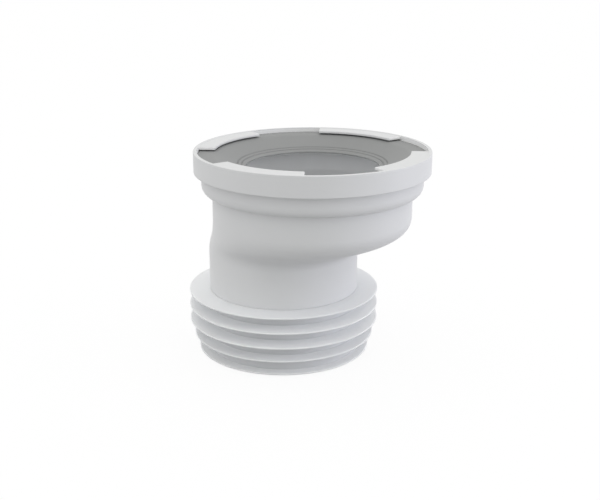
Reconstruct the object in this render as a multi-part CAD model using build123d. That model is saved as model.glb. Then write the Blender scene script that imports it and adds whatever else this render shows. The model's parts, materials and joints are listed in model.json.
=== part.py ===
from build123d import *
import math
import os

# Offset pan connector: a wide socket above, a finned spigot below, and an eccentric wall between them.
# Millimetres. The spigot stands on the origin along +Z, and the socket axis is stepped aside along +X.

# Layout
axis_offset = 20.0          # sideways step from the spigot axis to the socket axis

# Spigot
spigot_r = 45.0             # outside radius of the bare tube
spigot_wall = 2.8
spigot_bare = 22.3          # bare tube between the finned seal and the transition
seat_depth = 1.0            # recess in the tube that the finned seal sits in
end_chamfer = 0.5           # lead-in on the tube's outer end edge
barb_rise = 0.8             # ring that keeps the finned seal from sliding off
barb_height = 2.5
barb_low = 5.0              # height of the barb's lower edge above the tube's end

# Transition from the round spigot to the wider round socket
transition_height = 25.6
shoulder_fullness = 1.875   # how long the wall stays upright below the socket, as a share of the height
neck_fullness = 1.29        # how long the wall is upright above the spigot, as a share of the height
transition_sections = 7

# Socket
socket_wall = 2.5
upper_r = 58.7              # outside radius of the wall above the transition
upper_height = 13.9
cup_step = 6.15             # how far the cup stands out beyond the upper wall
cup_height = 12.6
cup_flat = 0.75             # flat part of the cup's underside, inside its rounded lower edge
collar_step = 4.25          # how far the collar stands out beyond the cup
collar_height = 12.2
collar_wall = 2.2
ledge_thickness = 2.5       # floor of the collar, which carries the socket seal
edge_break = 0.35           # chamfer on the collar's outer edges

# Four tabs that stand inwards over the socket seal
tab_count = 4
tab_reach = 9.9             # from the collar's inner wall towards the axis
tab_angle = 50.5            # degrees of the collar that each tab spans
tab_thickness = 1.5
tab_drop = 0.2              # the tabs lie this far below the collar's top edge

# Socket seal: a flat ring under the tabs, and a conical membrane that falls from it to the hole
hole_r = 39.0
membrane_fall = 7.0         # from the ring's top face down to the hole's top edge
membrane_thickness = 1.3
ring_setback = 0.6          # the ring's inner wall lies this far outside the hollow below it
seal_headroom = 0.8         # from the ring's top face up to the tabs

# Finned seal: a sleeve with thin round fins
fin_count = 5
fin_pitch = 9.1
fin_r = 57.5
lead_fins = 2               # the lowest fins are smaller, to lead the spigot into a pipe
lead_step = 2.7
fin_tip = 0.9               # thickness at the fin's edge
fin_root = 2.1              # thickness at the sleeve
fin_droop = 0.3             # fall of a fin's upper face from the sleeve to the edge
sleeve_wall = 2.1
sleeve_margin = 1.5         # sleeve below the lowest fin's edge

# Fits
seal_clearance = 0.1        # between a seal and the wall round or inside it
cut_over = 1.0              # how far a hollow is cut past an open end

# Heights, from the spigot's end upwards
seat_top = sleeve_margin + (fin_count - 1) * fin_pitch + fin_tip + fin_droop
neck_z = seat_top + spigot_bare
shoulder_z = neck_z + transition_height
crease_z = shoulder_z + upper_height
band_z = crease_z + cup_height
rim_z = band_z + collar_height
ledge_z = band_z + ledge_thickness
tab_top = rim_z - tab_drop
tab_low = tab_top - tab_thickness

# Radii of the socket, the hollow and the seals' seats
cup_r = upper_r + cup_step
cup_round = cup_step - cup_flat
collar_r = cup_r + collar_step
bore_r = spigot_r - spigot_wall
seat_r = spigot_r - seat_depth
upper_in = upper_r - socket_wall
cup_in = cup_r - socket_wall
collar_in = collar_r - collar_wall
tab_tip = collar_in - tab_reach

# The hollow's transition lies higher than the outer one, so that the sloping wall is as thick as the upright walls
shelf_run = axis_offset + upper_r - spigot_r
shelf_rate = 1.5 - (shoulder_fullness + neck_fullness) / 4
shelf_slope = math.atan2(shelf_rate * transition_height, 1.5 * shelf_run)
hollow_lift = socket_wall * math.tan((math.pi / 2 - shelf_slope) / 2)


def turned(outline, rounds, centre_x):
    """Solid turned about the upright axis at centre_x from a half outline of (radius, height) corners.

    rounds gives a corner's rounding by its place in the outline, and the other corners stay sharp.
    """
    corners = [(centre_x + radius, height) for radius, height in outline]
    radii = [rounds.get(place, 0) for place in range(len(corners))]
    edge = FilletPolyline(*corners, radius=radii, close=True)
    return revolve(Plane.XZ * make_face(edge), Axis((centre_x, 0, 0), (0, 0, 1)))


def transition(top_r, low_r, lift):
    """Loft of circles whose centre and radius blend from the socket to the spigot.

    The blend is the smooth step 3t^2 - 2t^3. The height is a cubic with upright tangents at both ends.
    """
    circles = []
    for place in range(transition_sections):
        t = place / (transition_sections - 1)
        blend = 3 * t**2 - 2 * t**3
        upright = shoulder_fullness * (t**3 - 2 * t**2 + t) + neck_fullness * (t**3 - t**2)
        height = shoulder_z + lift - transition_height * (blend + upright)
        centre = axis_offset * (1 - blend)
        radius = top_r + (low_r - top_r) * blend
        circles.append(Plane((centre, 0, height)) * Circle(radius))
    return loft(circles)


def socket_outside():
    """Upper wall, cup with its rounded lower edge, and collar, as one solid form."""
    outline = [
        (0, shoulder_z),
        (upper_r, shoulder_z),
        (upper_r, crease_z),
        (cup_r, crease_z),
        (cup_r, band_z),
        (collar_r - edge_break, band_z),
        (collar_r, band_z + edge_break),
        (collar_r, rim_z - edge_break),
        (collar_r - edge_break, rim_z),
        (0, rim_z),
    ]
    return turned(outline, {3: cup_round}, axis_offset)


def socket_hollow():
    """Space inside the socket: the upper wall, a funnel inside the cup, and the collar's pocket above the ledge.

    The funnel leaves no step inside the cup that would catch the waste.
    """
    outline = [
        (0, shoulder_z + hollow_lift),
        (upper_in, shoulder_z + hollow_lift),
        (upper_in, crease_z),
        (cup_in, band_z),
        (cup_in, ledge_z),
        (collar_in, ledge_z),
        (collar_in, rim_z + cut_over),
        (0, rim_z + cut_over),
    ]
    return turned(outline, {}, axis_offset)


def spigot_outside():
    """Bare tube, and the recessed seat with its barb for the finned seal."""
    outline = [
        (0, 0),
        (seat_r - end_chamfer, 0),
        (seat_r, end_chamfer),
        (seat_r, barb_low),
        (seat_r + barb_rise, barb_low + barb_height),
        (seat_r, barb_low + barb_height),
        (seat_r, seat_top),
        (spigot_r, seat_top),
        (spigot_r, neck_z),
        (0, neck_z),
    ]
    return turned(outline, {}, 0)


def spigot_hollow():
    """Straight bore, open at the spigot's end."""
    outline = [
        (0, -cut_over),
        (bore_r, -cut_over),
        (bore_r, neck_z + hollow_lift),
        (0, neck_z + hollow_lift),
    ]
    return turned(outline, {}, 0)


def tabs():
    """Sectors that reach inwards from the collar's wall, evenly spaced round the socket axis."""
    root_r = collar_r - collar_wall / 2
    strip = Polyline((tab_tip, tab_low), (root_r, tab_low), (root_r, tab_top), (tab_tip, tab_top), close=True)
    tab = revolve(Plane.XZ * make_face(strip), Axis.Z, revolution_arc=tab_angle)
    for place in range(tab_count):
        turn = place * 360 / tab_count - tab_angle / 2
        yield Pos(axis_offset, 0, 0) * Rot(0, 0, turn) * tab


def connector_body():
    """The white moulding: everything but the two seals."""
    outside = socket_outside() + transition(upper_r, spigot_r, 0) + spigot_outside()
    hollow = socket_hollow() + transition(upper_in, bore_r, hollow_lift) + spigot_hollow()
    body = outside - hollow
    for tab in tabs():
        body += tab
    return body


def socket_seal():
    """Ring on the collar's ledge, flat under the tabs, with a membrane that falls from the tabs' tips to the hole."""
    ring_r = collar_in - seal_clearance
    ring_in = cup_in + ring_setback
    ring_top = tab_low - seal_headroom
    hole_top = ring_top - membrane_fall
    outline = [
        (hole_r, hole_top - membrane_thickness),
        (hole_r, hole_top),
        (tab_tip, ring_top),
        (ring_r, ring_top),
        (ring_r, ledge_z),
        (ring_in, ledge_z),
        (ring_in, ring_top - membrane_thickness),
        (tab_tip, ring_top - membrane_thickness),
    ]
    return turned(outline, {}, axis_offset)


def finned_seal():
    """Sleeve on the spigot's seat, with a groove for the barb and a row of fins that thin to their edges."""
    inner_r = seat_r + seal_clearance
    core_r = inner_r + sleeve_wall
    groove_top = barb_low + barb_height + seal_clearance
    outline = [
        (inner_r, 0),
        (inner_r, barb_low),
        (inner_r + barb_rise, groove_top),
        (inner_r, groove_top),
        (inner_r, seat_top),
    ]
    for place in range(fin_count):
        root_top = seat_top - place * fin_pitch
        steps_in = max(0, place + 1 + lead_fins - fin_count)
        edge_r = fin_r - steps_in * lead_step
        outline.append((core_r, root_top))
        outline.append((edge_r, root_top - fin_droop))
        outline.append((edge_r, root_top - fin_droop - fin_tip))
        outline.append((core_r, root_top - fin_root))
    outline.append((core_r, 0))
    return turned(outline, {}, 0)


os.makedirs("parts", exist_ok=True)
export_step(connector_body(), "parts/connector_body.step")
export_step(socket_seal(), "parts/socket_seal.step")
export_step(finned_seal(), "parts/finned_seal.step")
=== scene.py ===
# %% [markdown]
# # An offset pan connector, dressed for its picture
#
# A pan connector joins a toilet's outlet to the soil pipe. This one is three pieces: a white plastic
# moulding, a grey rubber membrane in its collar, and a pale rubber sleeve with fins on its spigot. The
# sizes come from a packed CAD model, which is loaded first and never moved. Everything below is in
# metres, in that model's frame: the spigot stands on the origin, and the collar is stepped aside along
# +X.

# %% Load the frame
import json
import math

import bpy
import numpy as np
from mathutils import Matrix, Vector


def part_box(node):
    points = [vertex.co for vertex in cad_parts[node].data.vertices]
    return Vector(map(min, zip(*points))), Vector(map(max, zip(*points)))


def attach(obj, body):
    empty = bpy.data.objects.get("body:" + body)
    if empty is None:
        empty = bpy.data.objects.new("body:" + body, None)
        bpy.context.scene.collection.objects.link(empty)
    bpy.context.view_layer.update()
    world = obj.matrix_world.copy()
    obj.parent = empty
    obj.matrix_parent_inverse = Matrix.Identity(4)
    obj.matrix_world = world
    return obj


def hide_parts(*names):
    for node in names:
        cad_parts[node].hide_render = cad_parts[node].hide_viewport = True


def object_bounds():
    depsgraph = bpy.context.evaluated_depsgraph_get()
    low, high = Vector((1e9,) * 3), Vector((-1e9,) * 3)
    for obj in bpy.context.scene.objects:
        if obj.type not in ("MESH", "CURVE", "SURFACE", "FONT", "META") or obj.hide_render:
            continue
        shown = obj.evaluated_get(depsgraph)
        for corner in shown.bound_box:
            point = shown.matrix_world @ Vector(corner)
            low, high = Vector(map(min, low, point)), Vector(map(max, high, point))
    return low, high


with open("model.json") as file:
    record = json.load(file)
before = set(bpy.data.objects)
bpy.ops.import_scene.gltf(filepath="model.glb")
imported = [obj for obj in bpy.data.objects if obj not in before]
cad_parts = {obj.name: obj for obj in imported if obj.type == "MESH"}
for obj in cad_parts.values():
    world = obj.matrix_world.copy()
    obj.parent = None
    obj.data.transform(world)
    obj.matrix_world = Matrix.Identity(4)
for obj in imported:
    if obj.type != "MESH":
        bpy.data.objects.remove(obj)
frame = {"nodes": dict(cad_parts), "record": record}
cad_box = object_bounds()
MM = 0.001
print("nodes:", sorted(frame["nodes"]))
print("size in mm:", [round(side / MM, 1) for side in cad_box[1] - cad_box[0]])

# %% [markdown]
# ## Sizes
#
# The frame's record holds the fits that matter: the hole in the membrane, the bore, and the full-size
# fins. The boxes of the three nodes give the overall sizes. The steps, walls and roundings between them
# are given, each where it is first used.

# %% Read the sizes
mounts = {mount["name"]: mount for mount in frame["record"]["mounts"]}
body_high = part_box("connector_body")[1]
ring_low, ring_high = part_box("socket_seal")
sleeve_low, sleeve_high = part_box("finned_seal")

offset = mounts["inlet_seal"]["pos_m"][0]
hole_r = mounts["inlet_seal"]["dims"]["r_mm"] * MM
bore_r = mounts["outlet_bore"]["dims"]["r_mm"] * MM
fin_r = mounts["outlet_spigot"]["dims"]["r_mm"] * MM
collar_r = body_high.x - offset
rim_z = body_high.z
seat_top = sleeve_high.z
print(f"offset {offset / MM:.1f}  collar radius {collar_r / MM:.1f}  height {rim_z / MM:.1f} mm")

# %% [markdown]
# ## A ring is a stack of circles
#
# All three pieces are rings: cut one open and you see a closed outline, and carrying that outline round
# an upright axis gives the piece. A Screw or Spin would do for two of them, but the moulding is
# eccentric: its axis wanders from the collar to the spigot. So each point of an outline is written as
# (centre, radius, height), and the surface is worked out as one array: x = centre + radius cos(a), y =
# radius sin(a), z = height. Outlines run up the outside and down the inside, which makes the faces
# point outwards.

# %% Outlines with rounded corners
def rounded(corners, radii, steps=5, support=0.5 * MM):
    """Open outline through (radius, height) corners, each inner corner replaced by an arc.

    The arc's centre lies on the corner's bisector, at radius / sin(half the angle). Points between the two
    tangent points are spread evenly by angle. One more point before and after each arc keeps flat faces flat.
    """
    corners = np.array(corners, float)
    radii = np.array(radii, float)[:, None]
    runs = np.diff(corners, axis=0)
    lengths = np.linalg.norm(runs, axis=1, keepdims=True)
    ahead = (runs / lengths)[1:]
    back = -(runs / lengths)[:-1]
    half = np.arccos(np.clip((back * ahead).sum(1, keepdims=True), -1, 1)) / 2
    reach = radii / np.tan(half)
    bisector = (back + ahead) / np.linalg.norm(back + ahead, axis=1, keepdims=True)
    centre = corners[1:-1] + bisector * radii / np.sin(half)
    start = corners[1:-1] + back * reach - centre
    stop = corners[1:-1] + ahead * reach - centre
    turn = (math.pi - 2 * half)[:, None]
    share = np.linspace(0, 1, steps + 1)[None, :, None]
    arcs = np.sin((1 - share) * turn) * start[:, None] + np.sin(share * turn) * stop[:, None]
    arcs = centre[:, None] + arcs / np.sin(turn)
    taken = np.pad(reach, ((1, 1), (0, 0)))
    gaps = np.minimum(support, (lengths - taken[:-1] - taken[1:]) / 3)
    first = arcs[:, :1] + (back * gaps[:-1])[:, None]
    last = arcs[:, -1:] + (ahead * gaps[1:])[:, None]
    rows = np.concatenate([first, arcs, last], axis=1).reshape(-1, 2)
    return np.concatenate([corners[:1], rows, corners[-1:]])


def closed_outline(corners, radii, steps=5):
    """The same for an outline that ends where it starts: every corner is rounded."""
    return rounded([corners[-1], *corners, corners[0]], radii, steps)[1:-1]


def stack_of_circles(centre, outline):
    """Rows of (centre, radius, height) for an outline that keeps one axis."""
    return np.column_stack([np.full(len(outline), centre), outline])


print("a right angle rounded with 5 steps has", len(rounded([(0, 0), (1, 0), (1, 1)], [0.2])) - 2, "points")


# %% From rows and angles to a mesh
def ring_mesh(name, centre, radius, height, angle):
    """Closed ring from arrays that spread to [rows, columns].

    x = centre + radius cos(angle), y = radius sin(angle), z = height. Rows and columns both wrap round.
    """
    shape = np.broadcast_shapes(centre.shape, radius.shape, height.shape, angle.shape)
    points = np.empty(shape + (3,))
    points[..., 0] = centre + radius * np.cos(angle)
    points[..., 1] = radius * np.sin(angle)
    points[..., 2] = height
    here = np.arange(shape[0] * shape[1]).reshape(shape)
    beside = np.roll(here, -1, axis=1)
    quads = np.stack([here, beside, np.roll(beside, -1, axis=0), np.roll(here, -1, axis=0)], axis=-1)
    mesh = bpy.data.meshes.new(name)
    mesh.from_pydata(points.reshape(-1, 3), [], quads.reshape(-1, 4))
    mesh.shade_smooth()
    mesh.set_sharp_from_angle(angle=math.radians(40))
    return mesh


def add_piece(mesh, node):
    """Puts the mesh in the scene as the piece that stands for a CAD node."""
    piece = bpy.data.objects.new(mesh.name, mesh)
    bpy.context.scene.collection.objects.link(piece)
    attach(piece, "root")
    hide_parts(node)
    print(f"{piece.name}: {len(mesh.vertices)} points, {len(mesh.polygons)} faces, for {node}")
    return piece


def even_angles(count):
    """A full turn in equal steps, without its last, repeated angle."""
    return np.linspace(0, 2 * math.pi, count, endpoint=False)


# %% [markdown]
# ## The white moulding
#
# The moulding's section has two plain stretches that keep one axis each, the spigot below and the
# socket above. Between them lies the eccentric wall. There each circle's centre and radius blend by the
# smooth step 3t^2 - 2t^3, and the height is a cubic whose ends are upright, so that the wall leaves
# both tubes without a crease. Bridge Edge Loops between two circles would give a plain slanted cone
# instead, with a crease at either end.

# %% The eccentric wall
spigot_r = 45.0 * MM
spigot_bare = 22.3 * MM
transition_height = 25.6 * MM
socket_wall = 2.5 * MM
upper_r = 58.7 * MM
shoulder_fullness = 1.875
neck_fullness = 1.29
neck_z = seat_top + spigot_bare
shoulder_z = neck_z + transition_height
upper_in = upper_r - socket_wall

shelf_rise = (1.5 - (shoulder_fullness + neck_fullness) / 4) * transition_height
shelf_run = 1.5 * (offset + upper_r - spigot_r)
hollow_lift = socket_wall * math.tan((math.pi / 2 - math.atan2(shelf_rise, shelf_run)) / 2)


def eccentric_wall(top_r, low_r, lift, steps):
    """Rows of circles from the socket (t = 0) to the spigot (t = 1).

    centre = offset (1 - b) and radius = top (1 - b) + low b, with b = 3t^2 - 2t^3. The height falls by the
    cubic b + f0 (t^3 - 2t^2 + t) + f1 (t^3 - t^2), where f0 and f1 say how upright its two ends are.
    """
    t = np.linspace(0, 1, steps)
    blend = 3 * t**2 - 2 * t**3
    fall = blend + shoulder_fullness * (t**3 - 2 * t**2 + t) + neck_fullness * (t**3 - t**2)
    height = shoulder_z + lift - transition_height * fall
    return np.column_stack([offset * (1 - blend), top_r + (low_r - top_r) * blend, height])


outer_wall = eccentric_wall(upper_r, spigot_r, lift=0, steps=36)
inner_wall = eccentric_wall(upper_in, bore_r, lift=hollow_lift, steps=24)
print(f"eccentric wall: z {neck_z / MM:.1f} to {shoulder_z / MM:.1f} mm")
print(f"its hollow is lifted by {hollow_lift / MM:.2f} mm")

# %% [markdown]
# The spigot is a plain tube with a shallow seat for the rubber sleeve. The socket steps out twice: to a
# cup with a rounded lower edge, and to the collar. Its inner outline holds the four tabs that keep the
# membrane down. Every corner gets a small radius, because a moulding has no sharp edge, and the thin
# bright lines along its edges are what the eye reads as plastic.

# %% The spigot's and the socket's outlines
seat_r = 44.0 * MM
spigot_outline = rounded(
    [
        (bore_r, neck_z + hollow_lift),
        (bore_r, 0),
        (seat_r, 0),
        (seat_r, seat_top),
        (spigot_r, seat_top),
        (spigot_r, neck_z),
    ],
    [0.4 * MM, 0.5 * MM, 0.2 * MM, 0.1 * MM],
)

upper_height = 13.9 * MM
cup_step = 6.15 * MM
cup_height = 12.6 * MM
cup_round = 5.4 * MM
collar_wall = 2.2 * MM
ledge_thickness = 2.5 * MM
tab_drop = 0.2 * MM
tab_thickness = 1.5 * MM
tab_reach = 9.9 * MM
cup_r = upper_r + cup_step
cup_in = cup_r - socket_wall
collar_in = collar_r - collar_wall
tab_tip = collar_in - tab_reach
crease_z = shoulder_z + upper_height
band_z = crease_z + cup_height
ledge_z = band_z + ledge_thickness
tab_top = rim_z - tab_drop
tab_low = tab_top - tab_thickness

outside_corners = [
    (upper_r, shoulder_z),
    (upper_r, crease_z),
    (cup_r, crease_z),
    (cup_r, band_z),
    (collar_r, band_z),
    (collar_r, rim_z),
    (collar_in, rim_z),
]
tab_corners = [(collar_in, tab_top), (tab_tip, tab_top), (tab_tip, tab_low), (collar_in, tab_low)]
inside_corners = [
    (collar_in, ledge_z),
    (cup_in, ledge_z),
    (cup_in, band_z),
    (upper_in, crease_z),
    (upper_in, shoulder_z + hollow_lift),
]
outside_radii = [0.6 * MM, cup_round, 0.5 * MM, 0.45 * MM, 0.35 * MM, 0.12 * MM]
tab_radii = [0.06 * MM, 0.55 * MM, 0.3 * MM, 0.3 * MM]
inside_radii = [0.4 * MM, 0.4 * MM, 1.5 * MM, 3.0 * MM]
socket_outline = rounded(
    outside_corners + tab_corners + inside_corners,
    outside_radii + tab_radii + inside_radii,
)
print(f"spigot outline {len(spigot_outline)} points, socket outline {len(socket_outline)} points")

# %% [markdown]
# The tabs are part of the same surface. A mask over the angle is 1 along a tab and 0 between tabs:
# where it is 0, the tab's rows are pressed flat against the collar's wall. The angles are crowded at
# the tabs' ends, so that an end is a crisp face with a small round at its upper edge.

# %% Angles and the tab mask
tab_count = 4
tab_half = math.radians(25.25)
end_round = 0.45 * MM
tab_columns = 34
bare_columns = 30

end_run = np.array([-0.4, 0.0, 0.06, 0.14, 0.26, 0.45, 0.8]) * MM
end_angle = end_run / collar_in
tab_middle = np.linspace(-tab_half + end_angle[-1], tab_half - end_angle[-1], tab_columns)[1:-1]
half_bare = math.pi / tab_count
bare_start = tab_half - end_angle[0]
bare_after = np.linspace(bare_start, 2 * half_bare - bare_start, bare_columns)[1:-1]
one_tab = np.concatenate([end_angle - tab_half, tab_middle, (tab_half - end_angle)[::-1], bare_after])
angles = (one_tab + 2 * half_bare * np.arange(tab_count)[:, None]).ravel()

from_end = (tab_half - np.abs((angles + half_bare) % (2 * half_bare) - half_bare)) * collar_in
hair = 0.01 * MM
tab_mask = (from_end > hair).astype(float)
end_share = np.clip(1 - from_end / end_round, 0, 1)
end_fall = (1 - np.sqrt(1 - end_share**2)) * end_round
print(f"{len(angles)} columns, {int(tab_mask.sum())} of them on tabs")

# %% Put the moulding together
socket_rows = stack_of_circles(offset, socket_outline[1:-1])
spigot_rows = stack_of_circles(0, spigot_outline[1:-1])
body_rows = np.concatenate([spigot_rows, outer_wall[::-1], socket_rows, inner_wall])
centre, radius, height = body_rows.T[:, :, None]

wall_foot = tab_low - 0.5 * MM
on_tab = (height > wall_foot) & (height < tab_top + hair) & (radius < collar_in + hair)
place = np.cumsum(on_tab, axis=0) / on_tab.sum()
wall_height = tab_top + (wall_foot - tab_top) * place
tab_height = height - end_fall * np.clip((height - tab_low) / (tab_top - tab_low), 0, 1)
tab_radius = radius + end_fall * np.clip((collar_in - radius) / tab_reach, 0, 1)
radius = np.where(on_tab, collar_in + (tab_radius - collar_in) * tab_mask, radius)
height = np.where(on_tab, wall_height + (tab_height - wall_height) * tab_mask, height)
moulding_mesh = ring_mesh("moulding", centre, radius, height, angles[None, :])
moulding = add_piece(moulding_mesh, "connector_body")

# %% [markdown]
# ## The grey membrane
#
# A rubber ring sits on the collar's ledge. It is flat under the tabs, and from their tips a thin cone
# falls to the hole that the pan's outlet stretches. Two fine grooves run round the hole. It is turned
# from a single outline.

# %% Turn the membrane
ring_setback = 0.6 * MM
ring_r = ring_high.x - offset
ring_in = cup_in + ring_setback
ring_top = ring_high.z
membrane_thickness = 1.3 * MM
hole_top = ring_low.z + membrane_thickness
fall_rate = (ring_top - hole_top) / (tab_tip - hole_r)
groove_depth = 0.65 * MM
groove_half = 0.5 * MM
groove_steps = (4.5 * MM, 2.3 * MM)


def membrane_top(radius):
    """Height of the cone: it rises in a straight line from the hole to the tabs' tips."""
    return hole_top + (radius - hole_r) * fall_rate


membrane_corners = [(ring_in, ledge_z), (ring_r, ledge_z), (ring_r, ring_top), (tab_tip, ring_top)]
membrane_radii = [0.4 * MM, 0.4 * MM, 0.5 * MM, 9.0 * MM]
for step in groove_steps:
    groove_r = hole_r + step
    membrane_corners += [
        (groove_r + groove_half, membrane_top(groove_r + groove_half)),
        (groove_r, membrane_top(groove_r) - groove_depth),
        (groove_r - groove_half, membrane_top(groove_r - groove_half)),
    ]
    membrane_radii += [0.15 * MM, 0.1 * MM, 0.15 * MM]
membrane_corners += [
    (hole_r, hole_top),
    (hole_r, ring_low.z),
    (tab_tip, ring_top - membrane_thickness),
    (ring_in, ring_top - membrane_thickness),
]
membrane_radii += [0.35 * MM, 0.35 * MM, 7.0 * MM, 1.0 * MM]
membrane_rows = stack_of_circles(offset, closed_outline(membrane_corners, membrane_radii))
centre, radius, height = membrane_rows.T[:, :, None]
membrane_columns = 320
membrane_mesh = ring_mesh("membrane", centre, radius, height, even_angles(membrane_columns)[None, :])
membrane = add_piece(membrane_mesh, "socket_seal")

# %% [markdown]
# ## The finned sleeve
#
# Five thin fins press against the inside of the soil pipe. The two lowest are smaller, which leads the
# spigot in. One loop writes a fin's four corners, from the lowest fin up, and the roundings do the
# rest: soft edges at the tip, and a small fillet at the root, where a real fin would tear if it were
# sharp.

# %% Turn the sleeve
fin_count = 5
fin_pitch = 9.1 * MM
lead_fins = 2
lead_step = 2.7 * MM
fin_tip = 0.9 * MM
fin_root = 2.1 * MM
fin_droop = 0.3 * MM
seal_clearance = 0.1 * MM
sleeve_wall = 2.1 * MM
inner_r = seat_r + seal_clearance
core_r = inner_r + sleeve_wall

sleeve_corners = [(inner_r, sleeve_low.z), (core_r, sleeve_low.z)]
sleeve_radii = [0.3 * MM, 0.3 * MM]
for fin in range(fin_count):
    root_top = seat_top - (fin_count - 1 - fin) * fin_pitch
    edge_r = fin_r - max(0, lead_fins - fin) * lead_step
    tip_top = root_top - fin_droop
    low_fillet = 0.15 * MM if fin == 0 else 0.8 * MM
    sleeve_corners += [(core_r, root_top - fin_root), (edge_r, tip_top - fin_tip)]
    sleeve_corners += [(edge_r, tip_top), (core_r, root_top)]
    sleeve_radii += [low_fillet, 0.35 * MM, 0.35 * MM, 0.6 * MM]
sleeve_corners += [(inner_r, seat_top)]
sleeve_radii += [0.2 * MM]
sleeve_rows = stack_of_circles(0, closed_outline(sleeve_corners, sleeve_radii, steps=4))
centre, radius, height = sleeve_rows.T[:, :, None]
sleeve_columns = 300
sleeve_mesh = ring_mesh("finned_sleeve", centre, radius, height, even_angles(sleeve_columns)[None, :])
sleeve = add_piece(sleeve_mesh, "finned_seal")

# %% [markdown]
# ## Finishes
#
# A finish is a small tree of nodes. To keep it readable, `Field` wraps an output socket so that
# ordinary arithmetic adds Math nodes, and `NodeTree.node` makes any other node from its type, its
# settings and its inputs. What is the same all over a surface is set on the shader itself. The floor
# and the world use the same two classes.


# %% Shader maths as expressions
class Field:
    """A value that varies over a surface. Arithmetic on it adds Math nodes to its tree."""

    def __init__(self, home, socket):
        self.home = home
        self.socket = socket

    def math(self, operation, first, second):
        return self.home.node("ShaderNodeMath", {"operation": operation}, {0: first, 1: second})

    def __add__(self, other):
        return self.math("ADD", self, other)

    def __radd__(self, other):
        return self.math("ADD", other, self)

    def __sub__(self, other):
        return self.math("SUBTRACT", self, other)

    def __rsub__(self, other):
        return self.math("SUBTRACT", other, self)

    def __mul__(self, other):
        return self.math("MULTIPLY", self, other)

    def __rmul__(self, other):
        return self.math("MULTIPLY", other, self)

    def __truediv__(self, other):
        return self.math("DIVIDE", self, other)

    def __rtruediv__(self, other):
        return self.math("DIVIDE", other, self)

    def __pow__(self, other):
        return self.math("POWER", self, other)

    def above(self, limit):
        """1 where the value is over a limit, and 0 elsewhere."""
        return self.math("GREATER_THAN", self, limit)

    def below(self, limit):
        """1 where the value is under a limit, and 0 elsewhere."""
        return self.math("LESS_THAN", self, limit)

    def clamped(self):
        """The value held between 0 and 1."""
        return self.home.node("ShaderNodeClamp", {}, {"Value": self})


class NodeTree:
    """A tree of nodes, and the node method that everything else comes from."""

    def __init__(self, owner):
        owner.use_nodes = True
        self.tree = owner.node_tree

    def put(self, socket, value):
        """Links a field to an input, or sets the input to a plain value."""
        if isinstance(value, Field):
            self.tree.links.new(value.socket, socket)
        else:
            socket.default_value = value

    def node(self, kind, settings=None, inputs=None, output=0):
        """Adds a node: settings first, then its inputs by name or place. Returns one output as a Field."""
        made = self.tree.nodes.new(kind)
        for key, value in (settings or {}).items():
            setattr(made, key, value)
        for key, value in (inputs or {}).items():
            self.put(made.inputs[key], value)
        return Field(self, made.outputs[output])

    def rays(self, *kinds):
        """1 for the kinds of ray that Light Path names, such as Camera or Glossy, and 0 for all others."""
        path = self.node("ShaderNodeLightPath").socket.node.outputs
        return sum(Field(self, path[f"Is {kind} Ray"]) for kind in kinds)

    def show(self, output, shader):
        """Sends a shader to the tree's output node."""
        self.put(self.tree.nodes[output].inputs["Surface"], shader)


class Finish(NodeTree):
    """A material with one Principled shader."""

    def __init__(self, name):
        self.material = bpy.data.materials.new(name)
        super().__init__(self.material)
        self.shader = self.tree.nodes["Principled BSDF"]

    def set(self, **inputs):
        """Sets or links the shader's own sockets, with _ in a name for a space."""
        for key, value in inputs.items():
            self.put(self.shader.inputs[key.replace("_", " ")], value)

    def position(self):
        """Place on the piece in metres, which is the frame's own."""
        return self.node("ShaderNodeTexCoord", output="Object")

    def noise(self, scale, detail=2.0, roughness=0.5):
        """Soft noise from 0 to 1, scale in cycles per metre."""
        inputs = {"Vector": self.position(), "Scale": scale, "Detail": detail, "Roughness": roughness}
        return self.node("ShaderNodeTexNoise", {}, inputs)

    def mix(self, factor, first, second):
        """Colour between two colours."""
        settings = {"data_type": "RGBA"}
        return self.node("ShaderNodeMix", settings, {0: factor, 6: first, 7: second}, output=2)

    def bump(self, height, distance, strength=1.0):
        """Normal of a surface raised by height times distance metres."""
        inputs = {"Height": height, "Distance": distance, "Strength": strength}
        return self.node("ShaderNodeBump", {}, inputs)


print("a finish can", [name for name in vars(Finish) if not name.startswith("_")])

# %% [markdown]
# The moulding is white polypropylene, straight from a satin tool: a soft broad gloss, a very fine grain
# that only shows as a slightly broken highlight, and a faint drift of tone where the melt cooled at
# different speeds. The faces inside the collar carry painted light: they are painted paler, for the light
# that the collar's thin wall and the tabs let through. Its top faces carry painted shade: they are painted
# a little darker. The inside, without the tabs' tips, is found by its height and by its distance from the
# socket's axis, which is the square root of x^2 + y^2 with x counted from the axis.


# %% White polypropylene
def axis_distance(finish, axis_x):
    """Distance from an upright axis at axis_x, as a field in metres."""
    parts = finish.node("ShaderNodeSeparateXYZ", {}, {0: finish.position()})
    across = Field(finish, parts.socket.node.outputs["X"]) - axis_x
    along = Field(finish, parts.socket.node.outputs["Y"])
    return (across * across + along * along) ** 0.5


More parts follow.
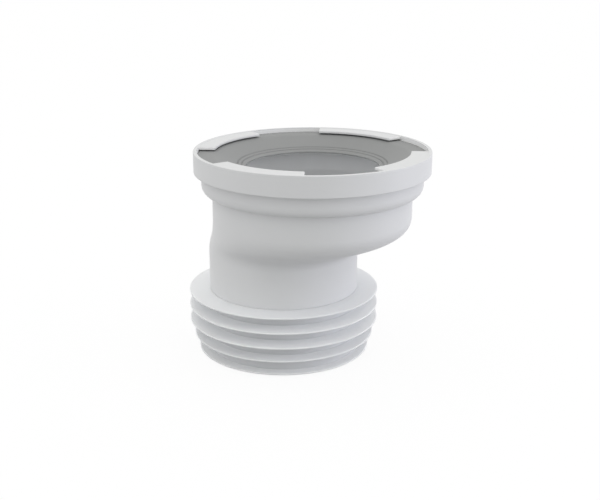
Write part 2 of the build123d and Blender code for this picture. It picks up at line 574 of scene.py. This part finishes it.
plastic = Finish("white_polypropylene")
drift = plastic.noise(26.0, 3.0, 0.55)
grain = plastic.noise(2600.0, 2.0, 0.6)
flow = plastic.noise(140.0, 2.0, 0.5)
# Painted light: the faces inside the collar get this paler colour, for light that the thin wall and tabs let
# through.
painted_light_collar_tone = (0.89, 0.89, 0.89, 1)
# Painted shade: the top faces of the rim and tabs get this darker colour.
painted_shade_rim_tone = (0.655, 0.660, 0.665, 1)
level = plastic.node("ShaderNodeSeparateXYZ", {}, {0: plastic.position()}, output="Z")
from_axis = axis_distance(plastic, offset)
behind_tips = from_axis.above(tab_tip + 0.7 * MM)
# Mask of the faces that get the painted light: inside the collar, behind the tabs' tips, above the ledge.
painted_light_mask = behind_tips * from_axis.below(collar_in + 0.1 * MM) * level.above(ledge_z)
# Mask of the top faces that get the painted shade.
on_rim = level.above(tab_top - 0.12 * MM)
white_tone = plastic.mix(drift * 0.75 + grain * 0.25, (0.675, 0.680, 0.685, 1), (0.730, 0.734, 0.738, 1))
# The white tone with the painted light mixed in inside the collar.
tone_with_painted_light = plastic.mix(painted_light_mask, white_tone, painted_light_collar_tone)
plastic.set(
    Base_Color=plastic.mix(on_rim, tone_with_painted_light, painted_shade_rim_tone),
    Roughness=0.36 + flow * 0.10 + grain * 0.06,
    Normal=plastic.bump(grain * 0.8 + flow * 1.5, 0.012 * MM, 0.6),
    IOR=1.49,
)
moulding.data.materials.append(plastic.material)
print(plastic.material.name, "has", len(plastic.tree.nodes), "nodes")

# %% [markdown]
# The membrane is a grey soft rubber. It is duller than the plastic, and its mould was turned on a
# lathe, so very fine rings run round the hole. The distance from the socket's axis gives them, and also
# the thin edge of the hole, which is painted paler: painted light for the light that the thin edge lets
# through.


# %% Grey rubber
def turning_rings(finish, axis_x, pitch):
    """Waves from -1 to 1 along the distance from an axis, one per pitch."""
    waves = axis_distance(finish, axis_x) * (2 * math.pi / pitch)
    return finish.node("ShaderNodeMath", {"operation": "SINE"}, {0: waves})


rubber = Finish("grey_rubber")
cloud = rubber.noise(45.0, 3.0, 0.55)
dust = rubber.noise(1800.0, 2.0, 0.6)
rings = turning_rings(rubber, offset, 0.9 * MM)
# Painted light: the hole's thin edge gets this paler colour, for light that passes through it.
painted_light_edge_tone = (0.36, 0.365, 0.365, 1)
edge_width = 0.3 * MM
from_edge = ((axis_distance(rubber, offset) - hole_r) / edge_width).clamped()
skin_tone = rubber.mix(cloud * 0.7 + dust * 0.3, (0.238, 0.242, 0.241, 1), (0.275, 0.279, 0.278, 1))
rubber.set(
    Base_Color=rubber.mix(from_edge, painted_light_edge_tone, skin_tone),
    Roughness=0.52 + cloud * 0.10 + dust * 0.06,
    Normal=rubber.bump(dust + rings * 0.25, 0.02 * MM, 0.5),
    IOR=1.52,
)
membrane.data.materials.append(rubber.material)
print(rubber.material.name, "has", len(rubber.tree.nodes), "nodes")

# %% [markdown]
# The sleeve is a pale soft rubber, a shade cooler than the plastic. Light goes a couple of millimetres
# into it, so the thin fins look paler than the core between them. The tone follows the distance from
# the spigot's axis too, with painted shade and painted light: the core between the fins is painted darker,
# where shade falls in the grooves, and the fins are painted paler towards their roots, against the shade of
# the fin above. The flat top face is painted a little darker, which is painted shade. A fine bloom makes it
# more matt, and it keeps the marks of a turned mould.

# %% Pale rubber
pale = Finish("pale_rubber")
bloom = pale.noise(60.0, 3.0, 0.55)
speck = pale.noise(2200.0, 2.0, 0.6)
turned = turning_rings(pale, 0.0, 0.8 * MM)
# Painted shade: the core between the fins gets this darker colour, where shade falls in the grooves.
painted_shade_core_tone = (0.710, 0.715, 0.720, 1)
# Painted light: the fins get this paler colour towards their roots, against the shade of the fin above.
painted_light_root_tone = (0.915, 0.925, 0.940, 1)
root_width = 0.6 * MM
sleeve_level = pale.node("ShaderNodeSeparateXYZ", {}, {0: pale.position()}, output="Z")
on_top = sleeve_level.above(seat_top - fin_tip)
from_core = axis_distance(pale, 0.0) - core_r
# 0 on the core and 1 off it; it blends the painted shade of the core into the fins.
off_core = (from_core / root_width).clamped()
outward = (from_core / (fin_r - core_r)).clamped()
skin = pale.mix(bloom * 0.7 + speck * 0.3, (0.835, 0.845, 0.858, 1), (0.880, 0.888, 0.898, 1))
# The fins' tone, with the painted light at their roots fading out towards the tips.
fin_tone_with_painted_light = pale.mix(outward, painted_light_root_tone, skin)
# The sides: painted shade on the core, the fins' tone beyond it.
painted_side_tone = pale.mix(off_core, painted_shade_core_tone, fin_tone_with_painted_light)
# Painted shade: the flat top face gets this darker colour.
painted_shade_top_tone = pale.mix(bloom, (0.780, 0.789, 0.802, 1), (0.820, 0.829, 0.841, 1))
pale.set(
    Base_Color=pale.mix(on_top, painted_side_tone, painted_shade_top_tone),
    Roughness=0.46 + bloom * 0.12 + speck * 0.05,
    Normal=pale.bump(speck + turned * 0.2, 0.012 * MM, 0.5),
    IOR=1.50,
    Subsurface_Weight=1.0,
    Subsurface_Radius=(1.0, 1.0, 1.0),
    Subsurface_Scale=2.0 * MM,
)
sleeve.data.materials.append(pale.material)
print(pale.material.name, "has", len(pale.tree.nodes), "nodes")

# %% [markdown]
# ## Floor, light and camera
#
# The floor is white to the camera and to reflections, and an ordinary pale surface to the light that
# bounces off it. A share of its shading is kept for the camera, so the object's soft shadow still falls
# on it. Seen from below it is clear, so the underside can be looked at.

# %% Floor
floor_half = 12.0
floor_corners = np.array([(-1, -1, 0), (1, -1, 0), (1, 1, 0), (-1, 1, 0)]) * floor_half
floor_mesh = bpy.data.meshes.new("floor")
floor_mesh.from_pydata(floor_corners, [], [(0, 1, 2, 3)])
floor = bpy.data.objects.new("floor", floor_mesh)
bpy.context.scene.collection.objects.link(floor)

ground = Finish("pale_floor")
white_share = 0.93
to_camera = ground.rays("Camera")
mirrored = ground.rays("Glossy", "Transmission")
ground.set(Base_Color=ground.mix(to_camera, (0.42, 0.42, 0.42, 1), (0.93, 0.93, 0.93, 1)), Roughness=0.9)
white = ground.node("ShaderNodeEmission", {}, {"Color": (1, 1, 1, 1), "Strength": 1.0})
plain = Field(ground, ground.shader.outputs[0])
shown = ground.node("ShaderNodeMixShader", {}, {0: to_camera * white_share + mirrored, 1: plain, 2: white})
below = ground.node("ShaderNodeNewGeometry", output="Backfacing")
clear = ground.node("ShaderNodeBsdfTransparent")
both = ground.node("ShaderNodeMixShader", {}, {0: below, 1: shown, 2: clear})
ground.show("Material Output", both)
floor_mesh.materials.append(ground.material)
print("floor", 2 * floor_half, "m across")

# %% [markdown]
# The light is that of a white tent: an even, slightly cool world, and a warmer one that grows from the
# horizon to the top. It keeps the walls under the collar and the grooves between the fins a shade
# darker than the tops. To the camera and in reflections the tent is plain white. One lamp stands low on
# the right and a weaker one on the left. A ring of very weak lamps inside the socket, hidden under the
# membrane, stands for the daylight that the thin white wall lets through.

# %% World and lamps
world = bpy.data.worlds.new("tent")
bpy.context.scene.world = world
tent = NodeTree(world)
direction = tent.node("ShaderNodeTexCoord", output="Generated")
upwards = tent.node("ShaderNodeSeparateXYZ", {}, {0: direction}, output="Z")
even = tent.node("ShaderNodeBackground", {}, {"Color": (0.67, 0.69, 0.71, 1)})
overhead = tent.node("ShaderNodeBackground", {}, {"Color": (0.60, 0.57, 0.52, 1), "Strength": upwards})
cloth = tent.node("ShaderNodeAddShader", {}, {0: even, 1: overhead})
backdrop = tent.node("ShaderNodeBackground", {}, {"Color": (1, 1, 1, 1)})
in_view = tent.rays("Camera", "Glossy", "Transmission")
tent.show("World Output", tent.node("ShaderNodeMixShader", {}, {0: in_view, 1: cloth, 2: backdrop}))

camera_azimuth = math.radians(30)
middle = (cad_box[0] + cad_box[1]) / 2


def camera_side(origin, right, back, up):
    """Place in the frame, from steps in metres to the camera's right, away from it, and up from an origin."""
    across = Vector((math.cos(camera_azimuth), math.sin(camera_azimuth), 0))
    away = Vector((-math.sin(camera_azimuth), math.cos(camera_azimuth), 0))
    return origin + across * right + away * back + Vector((0, 0, up))


def add_lamp(kind, name, place, size, watts, colour):
    """Lamp that faces the middle of the part and isn't seen itself.

    The size is an area lamp's side or a point lamp's radius, in metres.
    """
    lamp = bpy.data.lights.new(name, kind)
    if kind == "AREA":
        lamp.size = size
    else:
        lamp.shadow_soft_size = size
    lamp.energy = watts
    lamp.color = colour
    holder = bpy.data.objects.new(name, lamp)
    bpy.context.scene.collection.objects.link(holder)
    turn = (middle - place).to_track_quat("-Z", "Y").to_matrix().to_4x4()
    holder.matrix_world = Matrix.Translation(place) @ turn
    holder.visible_camera = False
    return holder


right_place = camera_side(middle, right=1.2, back=-0.1, up=0.1)
left_place = camera_side(middle, right=-1.2, back=-0.1, up=0.1)
add_lamp("AREA", "low_right", right_place, size=0.5, watts=4.7, colour=(0.862, 0.860, 1.0))
add_lamp("AREA", "low_left", left_place, size=0.5, watts=0.95, colour=(1.0, 0.95, 0.97))
inside_count = 24
inside_r = 50 * MM
inside_z = ring_low.z - 4 * MM
for turn in even_angles(inside_count):
    place = Vector((offset + inside_r * math.cos(turn), inside_r * math.sin(turn), inside_z))
    add_lamp("POINT", "inside", place, size=3 * MM, watts=0.00042, colour=(0.97, 0.98, 1.0))
all_watts = sum(lamp.energy for lamp in bpy.data.lights)
print(f"{len(bpy.data.lights)} lamps, {all_watts:.2f} W in all")

# %% [markdown]
# The camera stands a little over half a metre away, to the right of the plane through both axes, and
# looks down by some eighteen degrees. Its lens gives the same spread of near and far as the picture
# that the part follows.

# %% Camera
camera_place = Vector((294.34, -489.68, 241.96)) * MM
camera_pitch = math.radians(17.581)
camera_data = bpy.data.cameras.new("camera")
camera_data.sensor_width = 36.0
camera_data.lens = 58.97
camera_data.clip_start = 0.01
camera_data.clip_end = 100.0
camera = bpy.data.objects.new("camera", camera_data)
bpy.context.scene.collection.objects.link(camera)
camera.location = camera_place
camera.rotation_euler = (math.pi / 2 - camera_pitch, 0, camera_azimuth)
bpy.context.scene.camera = camera
bpy.context.scene.view_settings.view_transform = "Standard"
print("camera", [round(c, 3) for c in camera_place], "m, lens", camera_data.lens, "mm")

# %% [markdown]
# ## The CAD box
#
# The CAD model's box is printed, in millimetres. The dressed part has to fill the same box as the
# CAD model.

# %% Print the CAD box
print("CAD box   ", [round(c / MM, 2) for corner in cad_box for c in corner])
